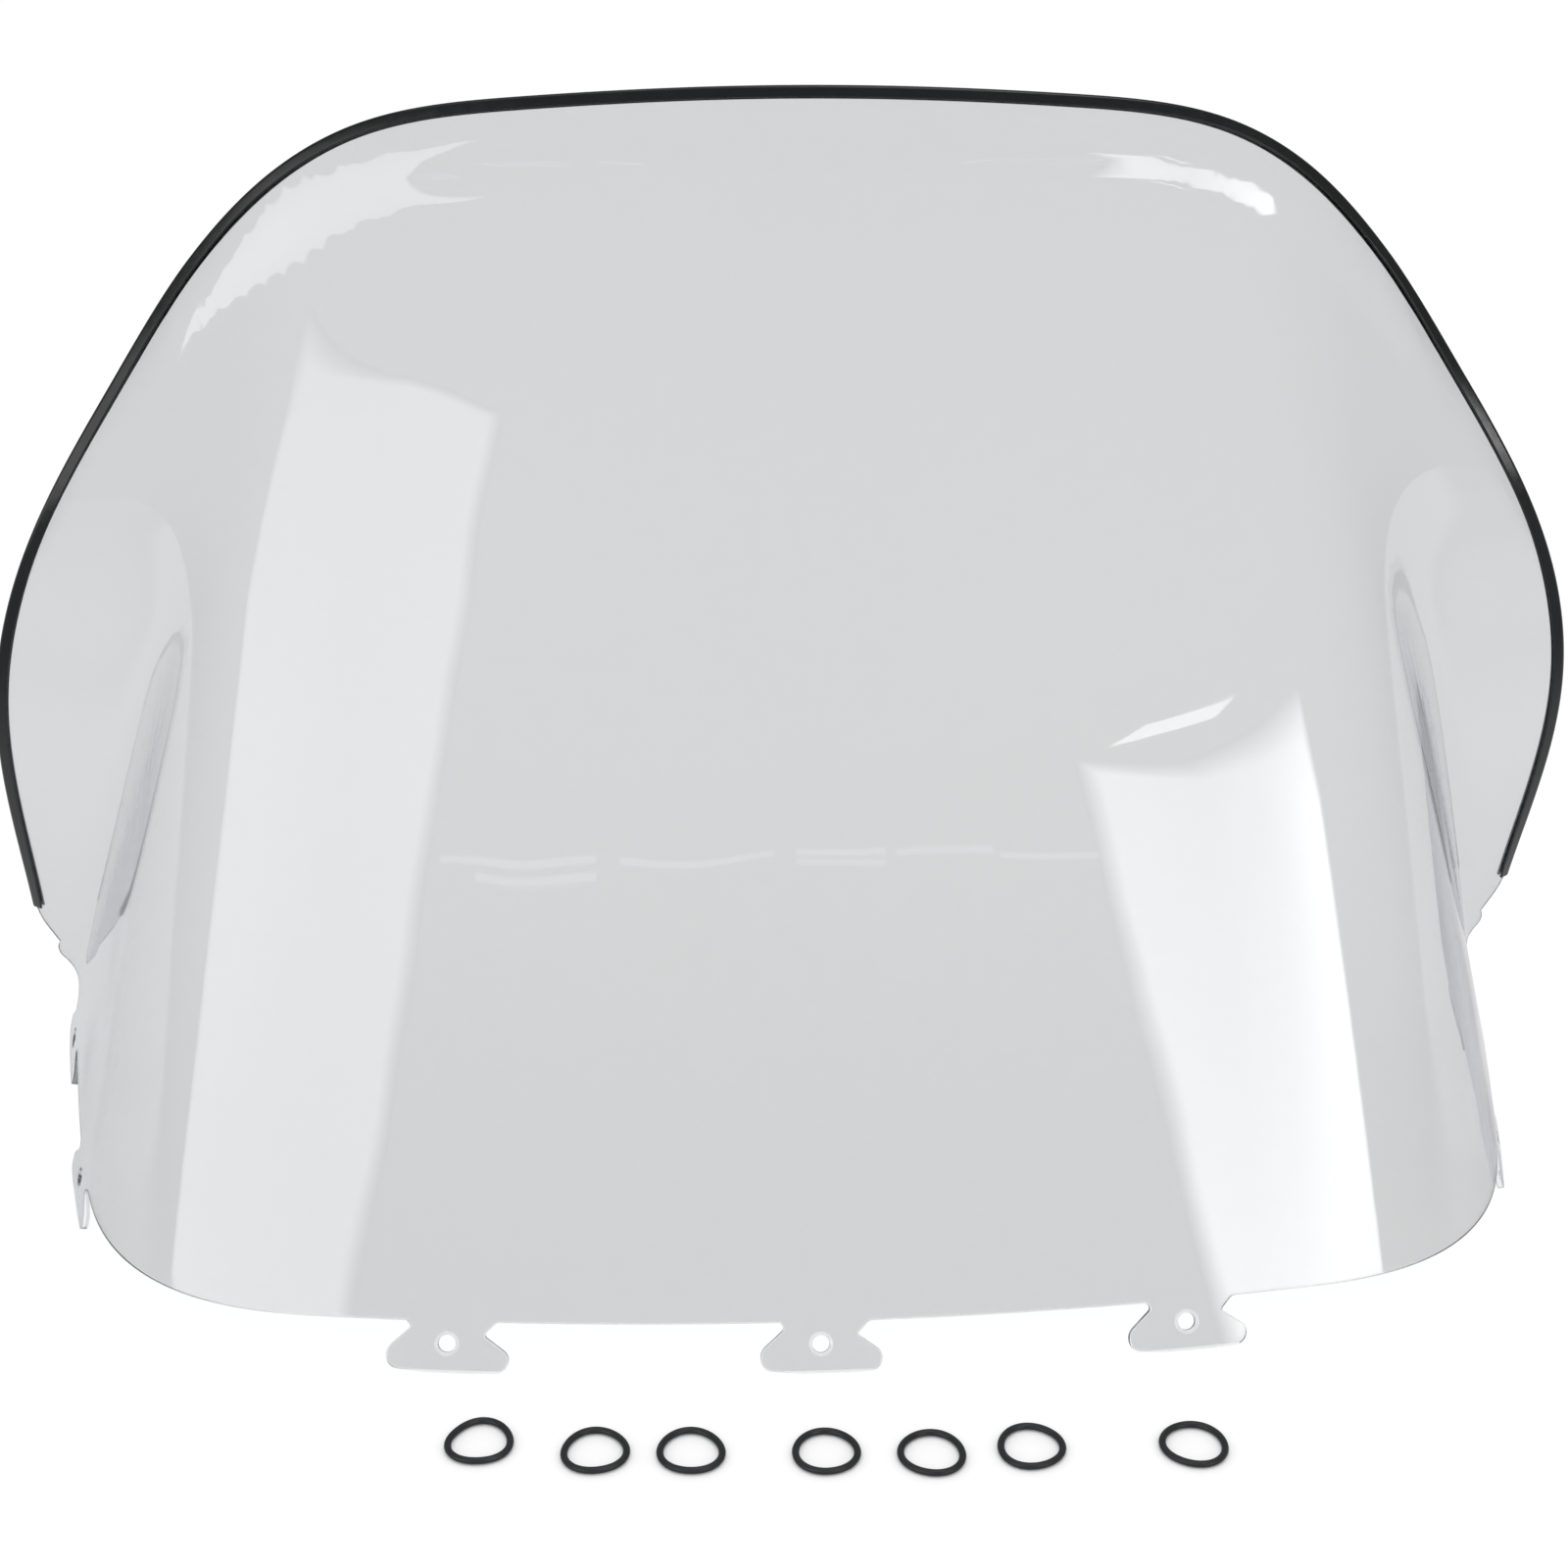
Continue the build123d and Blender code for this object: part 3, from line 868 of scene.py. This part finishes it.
floor_place = floor_tree.nodes.new("ShaderNodeSeparateXYZ")
floor_tree.links.new(floor_tree.nodes.new("ShaderNodeTexCoord").outputs["Object"], floor_place.inputs[0])
floor_back = spread(floor_tree, floor_place.outputs[1], 0, 1, *FLOOR_EDGE)
floor_tree.links.new(between(floor_tree, floor_back, FLOOR_AHEAD, FLOOR_BEHIND), floor_glow.inputs["Color"])
mixed(floor_tree, in_reflection(floor_tree), floor_shader, floor_glow, floor_output)
floor_material.cycles.emission_sampling = "NONE"
floor_mesh.materials.append(floor_material)
bpy.context.scene.collection.objects.link(floor)

# Camera
forward = Vector((
    math.sin(CAMERA_TURN) * math.cos(CAMERA_FALL),
    math.cos(CAMERA_TURN) * math.cos(CAMERA_FALL),
    -math.sin(CAMERA_FALL),
))
right = forward.cross(Vector((0, 0, 1))).normalized()
up = right.cross(forward)
right, up = (
    math.cos(CAMERA_ROLL) * right + math.sin(CAMERA_ROLL) * up,
    math.cos(CAMERA_ROLL) * up - math.sin(CAMERA_ROLL) * right,
)
camera_data = bpy.data.cameras.new("camera")
camera_data.sensor_width = SENSOR
camera_data.lens = SENSOR * LENS_PER_FRAME
camera = bpy.data.objects.new("camera", camera_data)
axes = Matrix((right, up, -forward)).transposed()
camera.matrix_world = Matrix.Translation(Vector(CAMERA_PLACE) * MM) @ axes.to_4x4()
bpy.context.scene.collection.objects.link(camera)
bpy.context.scene.camera = camera

# Light
bpy.context.scene.view_settings.view_transform = "Standard"
world = bpy.data.worlds.new("studio")
bpy.context.scene.world = world
world.use_nodes = True
world_tree = world.node_tree
world_tree.nodes.clear()
sky, room = (world_tree.nodes.new("ShaderNodeBackground") for _ in range(2))
sky.inputs["Color"].default_value = (1, 1, 1, 1)
sky.inputs["Strength"].default_value = SKY
room.inputs["Strength"].default_value = ROOM
room_way = world_tree.nodes.new("ShaderNodeSeparateXYZ")
world_tree.links.new(world_tree.nodes.new("ShaderNodeTexCoord").outputs["Generated"], room_way.inputs[0])
ceiling_edge = (CEILING_RISE - CEILING_BLEND, CEILING_RISE + CEILING_BLEND)
above = spread(world_tree, room_way.outputs[2], 0, 1, *ceiling_edge)
world_tree.links.new(between(world_tree, above, WALL_COLOUR, CEILING_COLOUR), room.inputs["Color"])
world_output = world_tree.nodes.new("ShaderNodeOutputWorld")
mixed(world_tree, in_reflection(world_tree), sky, room, world_output)

overhead_data = bpy.data.lights.new("softbox_overhead", "AREA")
overhead_data.shape = "SQUARE"
overhead_data.size = OVERHEAD_SIZE
overhead_data.energy = OVERHEAD_RADIANCE * math.pi * overhead_data.size**2
overhead = bpy.data.objects.new("softbox_overhead", overhead_data)
overhead.location = OVERHEAD_PLACE
overhead.visible_camera = False
overhead.visible_transmission = False
bpy.context.scene.collection.objects.link(overhead)


def panel(name, target, turn, rise, distance, corners, soft):
    """Glowing panel seen only in reflections.

    It faces a target from a turn and a rise in degrees. Its corners are metres across and up its own face, each with
    the radiance there. Its border, as wide as soft, fades out.
    """
    turn, rise = math.radians(turn), math.radians(rise)
    way = np.array([math.sin(turn) * math.cos(rise), -math.cos(turn) * math.cos(rise), math.sin(rise)])
    across = np.cross((0, 0, 1), way)
    across /= np.linalg.norm(across)
    upward = np.cross(way, across)
    outer = np.array([corner[:2] for corner in corners])
    to_middle = outer.mean(0) - outer
    inner = outer + to_middle * (soft / np.linalg.norm(to_middle, axis=1))[:, None]
    count = len(outer)
    flat = np.concatenate([outer, inner])
    places = np.array(target) + way * distance + flat[:, :1] * across + flat[:, 1:] * upward
    mesh = bpy.data.meshes.new(name)
    border = [(k, (k + 1) % count, (k + 1) % count + count, k + count) for k in range(count)]
    mesh.from_pydata(places.tolist(), [], [tuple(range(count, 2 * count)), *border])
    glow = mesh.color_attributes.new("glow", "FLOAT_COLOR", "POINT")
    for k, item in enumerate(glow.data):
        item.color = (*[corners[k - count][2] if k >= count else 0] * 3, 1)
    material = bpy.data.materials.new(name)
    tree, output = nodes_of(material)
    light = tree.nodes.new("ShaderNodeEmission")
    light.inputs["Color"].default_value = (1, 1, 1, 1)
    shade = tree.nodes.new("ShaderNodeAttribute")
    shade.attribute_name = "glow"
    tree.links.new(shade.outputs["Fac"], light.inputs["Strength"])
    mixed(tree, in_reflection(tree), tree.nodes.new("ShaderNodeBsdfTransparent"), light, output)
    material.cycles.emission_sampling = "NONE"
    mesh.materials.append(material)
    piece = bpy.data.objects.new(name, mesh)
    bpy.context.scene.collection.objects.link(piece)
    piece.visible_camera = piece.visible_diffuse = piece.visible_shadow = False


# Panels
panel("panel_left", (-0.2, 0, 0.2), turn=-40, rise=15, distance=6, corners=LEFT_PANEL, soft=0.12)
panel("panel_right", (0.2, 0, 0.15), turn=33, rise=18, distance=6, corners=RIGHT_PANEL, soft=0.15)
panel("strip_right", (0.2, 0, 0.15), turn=33, rise=18, distance=6, corners=RIGHT_STRIP, soft=0.006)
panel("panel_high", (0.1, 0.1, 0.4), turn=35, rise=66, distance=2.2, corners=HIGH_PANEL, soft=0.1)
for number, (start, end, low, high) in enumerate(CEILING_TUBES, start=1):
    tube = [(x, y, TUBE_RADIANCE) for x, y in ((end, low), (start, low), (start, high), (end, high))]
    panel(f"ceiling_tube_{number}", (0, 0, 0.19), turn=0, rise=26, distance=5.5, corners=tube, soft=0.003)
